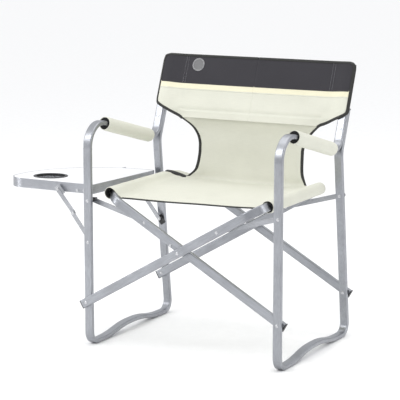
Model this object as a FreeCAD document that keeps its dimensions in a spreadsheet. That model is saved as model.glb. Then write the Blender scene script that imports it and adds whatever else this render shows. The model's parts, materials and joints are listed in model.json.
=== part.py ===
import FreeCAD, Part
import math
import os
from FreeCAD import Placement, Rotation, Vector

# Folding director chair with a drop-down side table. Millimetres, +Z up, -Y to the front. "left"
# is -X, the side with the table: it is on the left of someone who stands in front of the chair.
# Shapes are drawn in chair coordinates: the chair's middle plane is X 0, the front legs' centre
# line is Y 0 and the floor is Z 0. Each sub-part's Placement then moves it by (shift_x, shift_y),
# so that the origin is under the middle of the box that the object, table included, stands in.

DRIVING = {
    "shift_x": 142.7, "shift_y": -239.95,
    # flat-sided aluminium tube
    "tube_width": 25, "tube_depth": 13, "tube_wall": 1.5, "tube_corner": 3.5,
    # side frames: front leg upright, rear leg leaning forward, post leaning back
    "half_width": 300, "rear_leg_y": 446, "rear_lean": 0.12, "foot_radius": 32,
    "arm_front_height": 657.8, "arm_slope": 0.257, "arm_front_radius": 65, "arm_rear_radius": 40,
    "post_y": 407, "post_z": 616.6, "post_lean": 22, "post_top": 795, "leg_top": 672,
    "lap_gap": 0.3, "lap_radius": 60, "arch_rise": 17, "arch_radius": 400,
    # crossed seat rails and their links
    "pivot_height": 130, "crossing_height": 303, "rail_x": 246, "rail_radius": 50, "left_rear_radius": 90,
    "bar_offset": 15, "right_rear_y": 422.5, "left_rear_y": 462.5, "bar_overhang": 14,
    "link_height": 423, "link_x": 122.5, "link_width": 14, "link_depth": 3,
    # fasteners
    "rivet_radius": 3, "rivet_head": 5, "head_height": 1.6, "hole_radius": 3.06,
    "spacer_radius": 7,
    # side table
    "table_inner": -303, "table_outer": -606, "table_front": 30, "table_back": 388,
    "table_top": 464, "table_drop": 8, "rim_height": 27, "rim_wall": 2, "board_depth": 5,
    "table_front_corner": 60, "table_rear_corner": 270, "bracket_depth": 2,
    "cup_x": -503, "cup_y": 116, "cup_radius": 45,
    # two-piece brace: pivot on the table, knee and pivot on the leg
    "brace_top_x": -414, "brace_top_z": 445, "knee_x": -359.5, "knee_z": 380, "brace_low_z": 303,
    "brace_width": 12, "brace_depth": 2.5,
    # soft parts
    "cloth": 4, "seat_front": 50, "seat_back": 387, "seat_sleeve": 17.5, "seat_sag": 2.2,
    "pad_front": 93, "pad_length": 264, "pad_high": 38, "pad_wide": 36,
    "back_bottom": 627, "back_top": 800, "gusset_bottom": 441, "gusset_half": 186,
}

doc = FreeCAD.newDocument("director_chair")
sheet = doc.addObject("Spreadsheet::Sheet", "Sheet")
for row, (alias, value) in enumerate(DRIVING.items(), start=1):
    sheet.set(f"A{row}", alias)
    sheet.set(f"B{row}", str(value))
    sheet.setAlias(f"B{row}", alias)
doc.recompute()


def size(alias):
    return float(sheet.get(alias))


HALF_TUBE = size("tube_depth") / 2
LEAN = math.radians(size("post_lean"))
POST_UP = Vector(0, math.sin(LEAN), math.cos(LEAN))
POST_FRONT = Vector(0, -math.cos(LEAN), math.sin(LEAN))
RAIL_RISE = (size("crossing_height") - size("pivot_height")) / size("half_width")
RAIL_ANGLE = math.degrees(math.atan(RAIL_RISE))
CLEAR = 0.2
nodes = []


def rear_leg(z):
    """Y of the rear leg's centre line at height z."""
    return size("rear_leg_y") - size("rear_lean") * (z - size("pivot_height"))


def post(z):
    """Point on the post's centre line at height z, in the chair's middle plane."""
    return Vector(0, size("post_y"), size("post_z")) + POST_UP * ((z - size("post_z")) / math.cos(LEAN))


def rail_height(x):
    """Height of a crossbar's centre line at a distance x past the crossing."""
    return size("crossing_height") + RAIL_RISE * x


def keep(obj, label, place=None):
    """Names a sub-part, moves it from chair coordinates to the part's own frame and lists it."""
    obj.Label = label
    shift = Placement(Vector(size("shift_x"), size("shift_y"), 0), Rotation())
    obj.Placement = shift.multiply(place or Placement())
    nodes.append(obj)
    return obj


# ---------------------------------------------------------------- sketches and bent tubes

def rounded_run(points, radii):
    """Lines and tangent arcs along 2D points; radii belong to the inner points."""
    run, start = [], Vector(*points[0], 0)
    for before, corner, after, radius in zip(points, points[1:], points[2:], radii):
        corner = Vector(*corner, 0)
        back = (Vector(*before, 0) - corner).normalize()
        ahead = (Vector(*after, 0) - corner).normalize()
        half = back.getAngle(ahead) / 2
        reach = radius / math.tan(half)
        middle = corner + (back + ahead).normalize() * (radius / math.sin(half) - radius)
        run.append(Part.LineSegment(start, corner + back * reach))
        run.append(Part.Arc(corner + back * reach, middle, corner + ahead * reach))
        start = corner + ahead * reach
    run.append(Part.LineSegment(start, Vector(*points[-1], 0)))
    return run


def rounded_box(x0, y0, x1, y1, radii):
    """Closed outline of a box whose four corner radii start at (x0, y0) and go round."""
    start = ((x0 + x1) / 2, y0)
    corners = [(x0, y0), (x0, y1), (x1, y1), (x1, y0)]
    return rounded_run([start, *corners, start], radii)


def sketch_in(body, name, outlines, place=None):
    sketch = body.newObject("Sketcher::SketchObject", name)
    if place is None:
        plane = next(f for f in body.Origin.OriginFeatures if f.Role == "XY_Plane")
        sketch.AttachmentSupport = [(plane, "")]
        sketch.MapMode = "FlatFace"
    else:
        sketch.Placement = place
    for outline in outlines:
        for piece in outline:
            sketch.addGeometry(piece, False)
    return sketch


def tube_profile():
    """Outer and inner outline of the tube: depth along x, width along y."""
    depth, width = size("tube_depth") / 2, size("tube_width") / 2
    wall, corner = size("tube_wall"), size("tube_corner")
    outer = rounded_box(-depth, -width, depth, width, [corner] * 4)
    inner = rounded_box(-depth + wall, -width + wall, depth - wall, width - wall, [corner - wall] * 4)
    return [outer, inner]


def bent_tube(name, points, radii, holes):
    """Tube bent the easy way in its body's XY plane. holes are (x, y, direction angle) of rivets."""
    body = doc.addObject("PartDesign::Body", name)
    route = sketch_in(body, name + "_route", [rounded_run(points, radii)])
    first, second = Vector(*points[0], 0), Vector(*points[1], 0)
    along = (second - first).normalize()
    across = Vector(0, 0, 1).cross(along)
    turn = Rotation(across, Vector(0, 0, 1), along, "ZXY")
    profile = sketch_in(body, name + "_profile", tube_profile(), Placement(first, turn))
    pipe = body.newObject("PartDesign::AdditivePipe", name + "_pipe")
    pipe.Profile = profile
    pipe.Spine = (route, [f"Edge{n + 1}" for n in range(route.GeometryCount)])
    doc.recompute()
    for number, (x, y, angle) in enumerate(holes):
        drill = body.newObject("PartDesign::SubtractiveCylinder", f"{name}_hole{number}")
        drill.setExpression("Radius", "Sheet.hole_radius")
        drill.setExpression("Height", "Sheet.tube_depth * 3")
        way = Vector(math.cos(math.radians(angle)), math.sin(math.radians(angle)), 0)
        start = Vector(x, y, 0) - way * (size("tube_depth") * 1.5)
        drill.Placement = Placement(start, Rotation(Vector(0, 0, 1), way))
    return body


def padded(name, outlines, length_alias):
    """Closed outline or outlines in the XY plane, raised by a length from the sheet."""
    body = doc.addObject("PartDesign::Body", name)
    sketch = sketch_in(body, name + "_outline", outlines)
    pad = body.newObject("PartDesign::Pad", name + "_pad")
    pad.Profile = sketch
    pad.setExpression("Length", length_alias)
    return body


# ---------------------------------------------------------------- primitives along an axis

def along_y(x, y, z):
    return Placement(Vector(x, y, z), Rotation(Vector(0, 0, 1), Vector(0, 1, 0)))


def cylinder(place, radius, height):
    """Part::Cylinder whose radius is an expression and whose height is a length."""
    solid = doc.addObject("Part::Cylinder", "Cylinder")
    solid.setExpression("Radius", radius)
    solid.Height = height
    solid.Placement = place
    return solid


def joined(kind, parts, name="Group"):
    group = doc.addObject(kind, name)
    if kind == "Part::Cut":
        group.Base, group.Tool = parts
    elif kind == "Part::Compound":
        group.Links = parts
    else:
        group.Shapes = parts
    return group


def rivet_head(place, at, turn):
    head = doc.addObject("Part::Cone", "Head")
    head.setExpression("Radius1", "Sheet.rivet_head")
    head.setExpression("Radius2", "Sheet.rivet_head * 0.6")
    head.setExpression("Height", "Sheet.head_height")
    head.Placement = place.multiply(Placement(Vector(0, 0, at), Rotation(Vector(1, 0, 0), turn)))
    return head


def rivet(place, length, front_head=True, rear_head=True):
    """Shank along the placement's Z with domed heads past its ends."""
    parts = [cylinder(place, "Sheet.rivet_radius", length)]
    if front_head:
        parts.append(rivet_head(place, 0, 180))
    if rear_head:
        parts.append(rivet_head(place, length, 0))
    return joined("Part::MultiFuse", parts)


def spacer(x, z, y0, y1, radius="Sheet.spacer_radius"):
    """Plastic bush round a rivet, between two faces."""
    outer = cylinder(along_y(x, y0, z), radius, y1 - y0)
    bore = cylinder(along_y(x, y0 - 1, z), "Sheet.hole_radius", y1 - y0 + 2)
    return joined("Part::Cut", [outer, bore])


def long_spacer(x, z, y0, y1, angle):
    """Bush with straight sides that follows a brace, longer below its rivet than above."""
    block = doc.addObject("Part::Box", "Block")
    block.Length, block.Width, block.Height = 28, y1 - y0, 14
    tilt = Rotation(Vector(0, 1, 0), -angle)
    block.Placement = Placement(Vector(x, y0, z) + tilt.multVec(Vector(-19, 0, -7)), tilt)
    bore = cylinder(along_y(x, y0 - 1, z), "Sheet.hole_radius", y1 - y0 + 2)
    return joined("Part::Cut", [block, bore])


def flat_bar(start, end, y, width, depth):
    """Round-ended flat bar between two (x, z) holes, its front face at y."""
    reach = math.dist(start, end)
    angle = math.degrees(math.atan2(end[1] - start[1], end[0] - start[0]))
    place = Placement(Vector(start[0], y, start[1]), Rotation(Vector(0, 1, 0), -angle))
    strip = doc.addObject("Part::Box", "Strip")
    strip.Length = reach
    strip.setExpression("Width", depth)
    strip.setExpression("Height", width)
    strip.Placement = place.multiply(Placement(Vector(0, 0, -size(width.split(".")[1]) / 2), Rotation()))
    ends = [cylinder(along_y(x, y, z), width + " / 2", size(depth.split(".")[1])) for x, z in (start, end)]
    solid = joined("Part::MultiFuse", [strip, *ends])
    for x, z in (start, end):
        bore = cylinder(along_y(x, y - 1, z), "Sheet.hole_radius", size(depth.split(".")[1]) + 2)
        solid = joined("Part::Cut", [solid, bore])
    return solid


def group(label, parts):
    return keep(joined("Part::Compound", parts), label)


# ---------------------------------------------------------------- side frames

def side_frame(label, x):
    """One tube: post, arm, front leg, arched floor rail and rear leg, whose top laps the post."""
    slope, floor = size("arm_slope"), HALF_TUBE
    tangent = math.tan(LEAN)
    # the arm's line meets the post's line
    arm_y = (size("post_y") + tangent * (size("arm_front_height") - size("post_z"))) / (1 + tangent * slope)
    arm_z = size("arm_front_height") - slope * arm_y
    # the rear leg meets a line that runs behind the post
    behind = size("post_y") + (size("tube_depth") + size("lap_gap")) / math.cos(LEAN)
    foot_line = rear_leg(0)
    lap_z = (foot_line - behind + tangent * size("post_z")) / (tangent + size("rear_lean"))
    lap_top = (behind + tangent * (size("leg_top") - size("post_z")), size("leg_top"))
    top = post(size("post_top"))
    rear = rear_leg(floor)
    crest, knee = floor + size("arch_rise"), rear * 0.205
    points = [
        (top.y, top.z), (arm_y, arm_z), (0, size("arm_front_height")), (0, floor),
        (knee, floor), (rear * 0.39, crest), (rear * 0.6, crest), (rear - knee, floor),
        (rear, floor), (rear_leg(lap_z), lap_z), lap_top,
    ]
    radii = [size("arm_rear_radius"), size("arm_front_radius"), size("foot_radius")]
    radii += [size("arch_radius")] * 4 + [size("foot_radius"), size("lap_radius")]
    heights = [size("pivot_height"), size("link_height")]
    if x < 0:
        heights.append(size("brace_low_z"))
    holes = [(0, z, 0) for z in heights] + [(rear_leg(z), z, 0) for z in heights]
    for z in POST_RIVETS:
        for deep in (0, size("tube_depth") + size("lap_gap")):
            spot = post(z) - POST_FRONT * deep
            holes.append((spot.y, spot.z, 90 + math.degrees(math.atan2(POST_FRONT.y, -POST_FRONT.z))))
    tube = bent_tube(label, points, radii, holes)
    turn = Rotation(Vector(0, 1, 0), Vector(0, 0, 1), Vector(1, 0, 0), "ZXY")
    return keep(tube, label, Placement(Vector(x, 0, 0), turn))


POST_RIVETS = (619, 655)


def post_rivets(label, x):
    """Two rivets that hold the rear leg's top to the post."""
    deep = 2 * size("tube_depth") + size("lap_gap")
    parts = []
    for z in POST_RIVETS:
        start = post(z) + POST_FRONT * (HALF_TUBE + 0.05) + Vector(x, 0, 0)
        parts.append(rivet(Placement(start, Rotation(Vector(0, 0, 1), POST_FRONT * -1)), deep + 0.1))
    return group(label, parts)


def tube_plug(place):
    """Plastic plug: a shank inside the tube and a cap over its end; Z points out of the tube."""
    gap, inside = 0.1, size("tube_wall") + 0.6
    wide, deep = size("tube_width"), size("tube_depth")
    parts = []
    for trim, low, height in ((inside, -8, 8 + gap), (0, gap, 2.5)):
        block = doc.addObject("Part::Box", "Block")
        block.setExpression("Length", f"Sheet.tube_depth - 2 * {trim}")
        block.setExpression("Width", f"Sheet.tube_width - 2 * {trim}")
        block.Height = height
        corner = Vector(trim - deep / 2, trim - wide / 2, low)
        block.Placement = place.multiply(Placement(corner, Rotation()))
        parts.append(block)
    return joined("Part::MultiFuse", parts)


def frame_plugs(label, x):
    """Plugs in the top of the post and the top of the rear leg."""
    turn = Rotation(POST_FRONT, Vector(1, 0, 0), POST_UP, "ZXY")
    lap = size("tube_depth") + size("lap_gap")
    leg_end = post(size("leg_top")) - POST_FRONT * lap + POST_UP * (lap * math.tan(LEAN))
    ends = [Placement(end + Vector(x, 0, 0), turn) for end in (post(size("post_top")), leg_end)]
    return group(label, [tube_plug(end) for end in ends])


def arm_pad(label, x):
    """Foam tube round the arm, open for the tube."""
    wall = 0.3
    wide, high = size("tube_width") / 2 + wall, size("tube_depth") / 2 + wall
    oval = [Part.Ellipse(Vector(0, 0, 0), size("pad_high") / 2, size("pad_wide") / 2)]
    slot = rounded_box(-high, -wide, high, wide, [size("tube_corner")] * 4)
    body = padded(label, [oval, slot], "Sheet.pad_length")
    slope = math.atan(size("arm_slope"))
    along = Vector(0, math.cos(slope), -math.sin(slope))
    front = Vector(x, size("pad_front"), size("arm_front_height") - size("arm_slope") * size("pad_front"))
    up = Vector(0, math.sin(slope), math.cos(slope))
    return keep(body, label, Placement(front, Rotation(up, Vector(1, 0, 0), along, "ZXY")))


def back_sleeve(label, x):
    """Cloth pocket round the post and the lapped top of the rear leg."""
    over_heads, cloth = size("head_height") + 0.4, 2
    wide = size("tube_width") / 2 + 0.3
    front = HALF_TUBE + over_heads
    rear = -HALF_TUBE - size("lap_gap") - size("tube_depth") - over_heads
    hole = rounded_box(rear, -wide, front, wide, [1] * 4)
    skin = rounded_box(rear - cloth, -wide - cloth, front + cloth, wide + cloth, [3] * 4)
    body = padded(label, [skin, hole], "(Sheet.back_top - 648) / cos(Sheet.post_lean)")
    start = post(648) + Vector(x, 0, 0)
    return keep(body, label, Placement(start, Rotation(POST_FRONT, Vector(1, 0, 0), POST_UP, "ZXY")))


# ---------------------------------------------------------------- crossed seat rails

def rear_radius(side):
    """The left rail's rear leg stands further back, and turns into it in a wider bend."""
    return "rail_radius" if side > 0 else "left_rear_radius"


def seat_rail(label, side, front_y, rear_y):
    """U of tube: up from a pivot on the far side's leg, along the seat's edge and down again."""
    turn = math.radians(RAIL_ANGLE)
    out = Vector(side * math.cos(turn), 0, math.sin(turn))
    full = (size("half_width") + size("rail_x")) / math.cos(turn)
    span, overhang = rear_y - front_y, size("bar_overhang")
    crossing = size("half_width") / math.cos(turn)
    link = (size("half_width") + size("link_x")) / math.cos(turn)
    points = [(-overhang, 0), (full, 0), (full, span), (-overhang, span)]
    holes = [(reach, y, 90) for reach in (0, crossing, link) for y in (0, span)]
    tube = bent_tube(label, points, [size("rail_radius"), size(rear_radius(side))], holes)
    pivot = Vector(-side * size("half_width"), front_y, size("pivot_height"))
    across = Vector(0, 1, 0)
    return keep(tube, label, Placement(pivot, Rotation(out, across, out.cross(across), "ZXY")))


def rail_plugs(label, side, front_y, rear_y):
    turn = math.radians(RAIL_ANGLE)
    down = Vector(-side * math.cos(turn), 0, -math.sin(turn))
    pivot = Vector(-side * size("half_width"), 0, size("pivot_height")) + down * size("bar_overhang")
    spin = Rotation(Vector(0, 1, 0), down.cross(Vector(0, 1, 0)), down, "ZXY")
    return group(label, [tube_plug(Placement(pivot + Vector(0, y, 0), spin)) for y in (front_y, rear_y)])


def seat_sleeve(label, side, front_y, rear_y):
    """Round cloth pocket on the straight part of a seat rail."""
    front = max(size("seat_front"), front_y + size("rail_radius") - 3)
    back = min(size("seat_back"), rear_y - size(rear_radius(side)) + 3)
    gap = 0.3
    wide, deep = size("tube_width") / 2 + gap, HALF_TUBE + gap
    round_skin = [Part.Circle(Vector(0, 0, 0), Vector(0, 0, 1), size("seat_sleeve"))]
    slot = rounded_box(-deep, -wide, deep, wide, [size("tube_corner")] * 4)
    body = padded(label, [round_skin, slot], str(back - front))
    turn = math.radians(RAIL_ANGLE)
    out = Vector(side * math.cos(turn), 0, math.sin(turn))
    along = Vector(0, 1, 0)
    start = Vector(side * size("rail_x"), front, rail_height(size("rail_x")))
    return keep(body, label, Placement(start, Rotation(out, along.cross(out), along, "ZXY")))


# ---------------------------------------------------------------- soft panels

def panel(label, corners, normal):
    """Flat cloth panel with the given corners in order, thickened evenly about its plane."""
    half = normal * (size("cloth") / 2)
    face = Part.Face(Part.makePolygon([c - half for c in [*corners, corners[0]]]))
    feature = doc.addObject("Part::Feature", label)
    feature.Shape = face.extrude(half * 2)
    return keep(feature, label)


def seat_panel(label, side):
    """Half of the seat, from a rail's sleeve down to the middle."""
    sag = math.radians(size("seat_sag"))
    start, end = size("seat_sleeve") + 0.3, size("rail_x") - 0.2
    inward = Vector(-side * math.cos(sag), 0, -math.sin(sag))
    rail = Vector(side * size("rail_x"), 0, rail_height(size("rail_x")))
    near, far = rail + inward * start, rail + inward * (end / math.cos(sag))
    front, back = Vector(0, size("seat_front"), 0), Vector(0, size("seat_back"), 0)
    return panel(label, [near + front, far + front, far + back, near + back], inward.cross(Vector(0, 1, 0)))


def back_panel(label, side):
    """Half of the backrest, in the plane of the posts."""
    reach = size("half_width") - size("tube_width") / 2 - 2.8
    low, high = post(size("back_bottom")), post(size("back_top"))
    outer, inner = Vector(side * reach, 0, 0), Vector(side * 0.2, 0, 0)
    return panel(label, [low + outer, low + inner, high + inner, high + outer], POST_FRONT)


def gusset(label):
    """Waisted cloth that joins the backrest to the seat's rear edge, drawn as a plain taper."""
    top = post(size("back_bottom") - 3)
    bottom = Vector(0, size("seat_back") + 5, size("gusset_bottom"))
    wide, narrow = Vector(size("gusset_half"), 0, 0), Vector(size("gusset_half") * 0.85, 0, 0)
    up = (top - bottom).normalize()
    return panel(label, [bottom - wide, top - narrow, top + narrow, bottom + wide], up.cross(Vector(1, 0, 0)))


# ---------------------------------------------------------------- side table

def on_table(x, y, below):
    """Placement at a point of the table, below its top face, with the table's slight slope."""
    span = size("table_back") - size("table_front")
    slope = Rotation(Vector(1, 0, 0), -math.degrees(math.atan(size("table_drop") / span)))
    edge = Vector(0, size("table_front"), size("table_top"))
    return Placement(edge + slope.multVec(Vector(x, y, -below) - Vector(0, edge.y, 0)), slope)


def table_outline(inset, inner_radius):
    x0, x1 = size("table_outer") + inset, size("table_inner") - inset
    y0, y1 = size("table_front") + inset, size("table_back") - inset
    outer = [size("table_front_corner") - inset, size("table_rear_corner") - inset]
    return rounded_box(x0, y0, x1, y1, outer + [inner_radius, inner_radius])


# front faces of the table's two hinge plates, just inside the rim, front and rear
BRACKET_Y = (32.6, 381.4)
# the plates' rivets through the rim: (x, z), and the (start, end) in Y of each end's pair
BRACKET_RIVETS = ((-356, 444), (-333, 444))
BRACKET_RIVET_Y = ((29.1, 34.7), (381.3, 388.3))


def table_rim():
    body = padded("table_rim", [table_outline(0, 8), table_outline(size("rim_wall"), 6)], "Sheet.rim_height")
    place = on_table(0, 0, size("rim_height"))
    for start, end in BRACKET_RIVET_Y:
        for x, z in BRACKET_RIVETS:
            drill = body.newObject("PartDesign::SubtractiveCylinder", "table_rim_hole")
            drill.setExpression("Radius", "Sheet.hole_radius")
            drill.Height = end - start
            drill.Placement = place.inverse().multiply(along_y(x, start, z))
    keep(body, "table_rim", place)


def table_board():
    hole = [Part.Circle(Vector(size("cup_x"), size("cup_y"), 0), Vector(0, 0, 1), size("cup_radius"))]
    body = padded("table_board", [table_outline(size("rim_wall"), 6), hole], "Sheet.board_depth")
    keep(body, "table_board", on_table(0, 0, size("board_depth") + 0.5))


def cup_holder():
    """Ring on the board's hole and the shallow mesh bowl that hangs from it."""
    def level(below):
        return on_table(size("cup_x"), size("cup_y"), below)

    plate = cylinder(level(0.4), "Sheet.cup_radius + 6", 1.5)
    collar = cylinder(level(6), "Sheet.cup_radius - 0.3", 6)
    bore = cylinder(level(7), "Sheet.cup_radius - 2.3", 10)
    keep(joined("Part::Cut", [joined("Part::MultiFuse", [plate, collar]), bore]), "cup_ring")
    shell = cylinder(level(22), "Sheet.cup_radius - 2.6", 19)
    inside = cylinder(level(20.5), "Sheet.cup_radius - 4.1", 19)
    keep(joined("Part::Cut", [shell, inside]), "cup_mesh")


def table_brackets():
    """Plates inside the rim, each with a tab under the rim's inner side for the hinge pin."""
    parts = []
    pin_z = size("link_height")
    for y in BRACKET_Y:
        plates = []
        for x0, x1, z0, z1 in ((-366, -312, 438, 449), (-322, -312, 413, 449), (-322, -291, 413, 428.4)):
            plate = doc.addObject("Part::Box", "Plate")
            plate.Length, plate.Height = x1 - x0, z1 - z0
            plate.setExpression("Width", "Sheet.bracket_depth")
            plate.Placement = Placement(Vector(x0, y, z0), Rotation())
            plates.append(plate)
        holed = joined("Part::MultiFuse", plates)
        for x, z in ((-size("half_width"), pin_z), *BRACKET_RIVETS):
            bore = cylinder(along_y(x, y - 1, z), "Sheet.hole_radius", size("bracket_depth") + 2)
            holed = joined("Part::Cut", [holed, bore])
        parts.append(holed)
    group("table_brackets", parts)


def brace_angle():
    rise = size("brace_top_z") - size("brace_low_z")
    return math.degrees(math.atan2(rise, size("brace_top_x") + size("half_width")))


# planes of the braces, (front face of the lower bar, front face of the upper bar), front and rear
LOWER_Y = (9.2, 403.5)
UPPER_Y = (14.0, 398.5)


def table_fittings():
    """Rivets and long bushes that hold the braces to the table's rim."""
    x, z = size("brace_top_x"), size("brace_top_z")
    depth, lean = size("brace_depth"), 0.8
    front_rim = size("table_front") - lean
    front = long_spacer(x, z, UPPER_Y[0] + depth + CLEAR, front_rim - CLEAR, brace_angle())
    # the rear bush is shaped to the rim's rounded corner
    radius = size("table_rear_corner")
    centre = Vector(size("table_outer") + radius, size("table_back") - radius, z - 40)
    corner = cylinder(Placement(centre, Rotation()), f"Sheet.table_rear_corner + {lean}", 80)
    rear_rim = centre.y + math.sqrt(radius ** 2 - (x - centre.x) ** 2) + lean
    rear = joined("Part::Cut", [long_spacer(x, z, rear_rim - 15, UPPER_Y[1] - CLEAR, brace_angle()), corner])
    group("brace_bushes", [front, rear])
    rivets = [
        rivet(along_y(x, UPPER_Y[0] - CLEAR, z), front_rim - UPPER_Y[0], True, False),
        rivet(along_y(x, rear_rim + CLEAR, z), UPPER_Y[1] + depth - rear_rim, False, True),
    ]
    group("brace_top_rivets", rivets)
    group("bracket_rivets", [
        rivet(along_y(bx, start, bz), end - start)
        for start, end in BRACKET_RIVET_Y for bx, bz in BRACKET_RIVETS
    ])


def braces():
    """Two-piece brace at each end of the table, with a stud at the knee."""
    top = (size("brace_top_x"), size("brace_top_z"))
    knee = (size("knee_x"), size("knee_z"))
    low = (-size("half_width"), size("brace_low_z"))
    depth = size("brace_depth")
    width, thick = "Sheet.brace_width", "Sheet.brace_depth"
    group("brace_upper_bars", [flat_bar(top, knee, y, width, thick) for y in UPPER_Y])
    group("brace_lower_bars", [flat_bar(knee, low, y, width, thick) for y in LOWER_Y])
    group("brace_knee_studs", [
        rivet(along_y(knee[0], LOWER_Y[0] - 0.05, knee[1]), depth, True, False),
        rivet(along_y(knee[0], LOWER_Y[1] + 0.05, knee[1]), depth, False, True),
    ])


def brace_pivots():
    """On the left legs: rivets for the braces' lower ends and the bushes on them."""
    x, z = -size("half_width"), size("brace_low_z")
    depth = size("brace_depth")
    leg = rear_leg(z)
    front_end = LOWER_Y[0] + depth + CLEAR
    rear_start = LOWER_Y[1] - CLEAR
    group("brace_leg_rivets", [
        rivet(along_y(x, -HALF_TUBE - 0.1, z), front_end + HALF_TUBE + 0.1),
        rivet(along_y(x, rear_start, z), leg + HALF_TUBE + 0.7 - rear_start),
    ])
    group("brace_leg_bushes", [
        spacer(x, z, HALF_TUBE + 0.1, LOWER_Y[0] - CLEAR),
        long_spacer(x, z, LOWER_Y[1] + depth + CLEAR, leg - HALF_TUBE - 2.4, brace_angle()),
    ])


# ---------------------------------------------------------------- pivots and links

# front faces of the link bars, front and rear
LEFT_LINK_Y = (22.5, 451)
RIGHT_LINK_Y = (7.0, 431)


def leg_pivots():
    """Rivets and bushes where the crossbars' lower ends turn on the legs."""
    z = size("pivot_height")
    leg, bar = rear_leg(z), size("bar_offset")
    lean = 0.7
    for side, front, rear in (("left", -bar, size("right_rear_y")), ("right", bar, size("left_rear_y"))):
        x = -size("half_width") if side == "left" else size("half_width")
        faces = [(min(front, 0), max(front, 0)), (min(rear, leg), max(rear, leg))]
        rivets, bushes = [], []
        for (low, high), slack in zip(faces, (0.1, lean)):
            start = low - HALF_TUBE - (CLEAR if side == "left" else slack)
            end = high + HALF_TUBE + (slack if side == "left" else CLEAR)
            rivets.append(rivet(along_y(x, start, z), end - start))
            near = low + HALF_TUBE + (CLEAR if side == "left" else slack + 0.35)
            far = high - HALF_TUBE - (slack + 0.35 if side == "left" else CLEAR)
            bushes.append(spacer(x, z, near, far))
        group(f"{side}_pivot_rivets", rivets)
        group(f"{side}_pivot_bushes", bushes)


def crossing():
    """Rivets and bushes where the two seat rails cross, and the stud that they stop on."""
    z, bar = size("crossing_height"), size("bar_offset")
    rows = ((-bar, bar), (size("right_rear_y"), size("left_rear_y")))
    group("crossing_rivets", [
        rivet(along_y(0, a - HALF_TUBE - CLEAR, z), b - a + 2 * HALF_TUBE + 2 * CLEAR) for a, b in rows
    ])
    group("crossing_bushes", [spacer(0, z, a + HALF_TUBE + CLEAR, b - HALF_TUBE - 0.05) for a, b in rows])
    x = -38
    group("stop_stud", [rivet_head(along_y(x, bar - HALF_TUBE - 0.05, rail_height(-x) - 8), 0, 180)])


def leg_links():
    """Bars from the legs to the crossbars, with their rivets, bushes and end studs."""
    z, x, link_x = size("link_height"), size("half_width"), size("link_x")
    depth = size("link_depth")
    far = (link_x, rail_height(link_x))
    leg = rear_leg(z)
    slant = 0.5
    group("left_link_bars", [
        flat_bar((-x, z), (-far[0], far[1]), y, "Sheet.link_width", "Sheet.link_depth") for y in LEFT_LINK_Y
    ])
    group("right_link_bars", [
        flat_bar((x, z), far, y, "Sheet.link_width", "Sheet.link_depth") for y in RIGHT_LINK_Y
    ])
    group("left_link_studs", [
        rivet(along_y(-far[0], LEFT_LINK_Y[0], far[1]), depth + 0.1, False, True),
        rivet(along_y(-far[0], LEFT_LINK_Y[1] - 0.1, far[1]), depth + 0.1, True, False),
    ])
    group("right_link_studs", [rivet(along_y(far[0], RIGHT_LINK_Y[1], far[1]), depth + 0.1, False, True)])
    group("right_link_bush", [
        spacer(*far, -size("bar_offset") + HALF_TUBE + 0.3, RIGHT_LINK_Y[0] - 0.1)
    ])
    # left rivets are long: the table hangs on them too
    front_end, rear_start = BRACKET_Y[0] + size("bracket_depth") + CLEAR, BRACKET_Y[1] - CLEAR
    group("left_link_rivets", [
        rivet(along_y(-x, -HALF_TUBE - 0.1, z), front_end + HALF_TUBE + 0.1),
        rivet(along_y(-x, rear_start, z), LEFT_LINK_Y[1] + depth + CLEAR - rear_start),
    ])
    slim = "Sheet.rivet_head"
    group("left_link_bushes", [
        spacer(-x, z, HALF_TUBE + 0.1, LEFT_LINK_Y[0] - CLEAR),
        spacer(-x, z, LEFT_LINK_Y[0] + depth + CLEAR, BRACKET_Y[0] - CLEAR, slim),
        spacer(-x, z, BRACKET_Y[1] + size("bracket_depth") + CLEAR, leg - HALF_TUBE - 1, slim),
        spacer(-x, z, leg + HALF_TUBE + 1, LEFT_LINK_Y[1] - CLEAR),
    ])
    group("right_link_rivets", [
        rivet(along_y(x, -HALF_TUBE - 0.1, z), RIGHT_LINK_Y[0] + depth + CLEAR + HALF_TUBE + 0.1),
        rivet(along_y(x, leg - HALF_TUBE - slant - 0.2, z),
              RIGHT_LINK_Y[1] + depth + CLEAR - leg + HALF_TUBE + slant + 0.2),
    ])
    group("right_link_bushes", [spacer(x, z, leg + HALF_TUBE + 1, RIGHT_LINK_Y[1] - CLEAR)])


def rail_rivets():
    """Short rivets in the crossbars that the links' upper ends bear on."""
    x, bar = size("link_x"), size("bar_offset")
    z, thick = rail_height(x), size("tube_depth")
    left_rear, right_rear = size("left_rear_y") - HALF_TUBE, size("right_rear_y") - HALF_TUBE
    group("left_rail_rivets", [
        rivet(along_y(-x, bar - HALF_TUBE - 0.1, z), thick, True, False),
        rivet(along_y(-x, left_rear, z), thick + 0.1, False, True),
    ])
    group("right_rail_rivets", [
        rivet(along_y(x, -bar - HALF_TUBE - 0.1, z), thick, True, False),
        rivet(along_y(x, right_rear - 0.1, z), thick, True, False),
    ])


# ---------------------------------------------------------------- the whole chair

for side, x in (("left", -size("half_width")), ("right", size("half_width"))):
    side_frame(f"{side}_side_frame", x)
    post_rivets(f"{side}_post_rivets", x)
    frame_plugs(f"{side}_frame_plugs", x)
    arm_pad(f"{side}_arm_pad", x)
    back_sleeve(f"{side}_back_sleeve", x)
for side, sign, front, rear in (
    ("left", -1, size("bar_offset"), size("left_rear_y")),
    ("right", 1, -size("bar_offset"), size("right_rear_y")),
):
    seat_rail(f"{side}_seat_rail", sign, front, rear)
    rail_plugs(f"{side}_rail_plugs", sign, front, rear)
    seat_sleeve(f"{side}_seat_sleeve", sign, front, rear)
    seat_panel(f"seat_{side}_panel", sign)
    back_panel(f"back_{side}_panel", sign)
gusset("back_gusset")
leg_pivots()
crossing()
leg_links()
rail_rivets()
table_rim()
table_board()
cup_holder()
table_brackets()
table_fittings()
braces()
brace_pivots()
doc.recompute()

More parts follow.
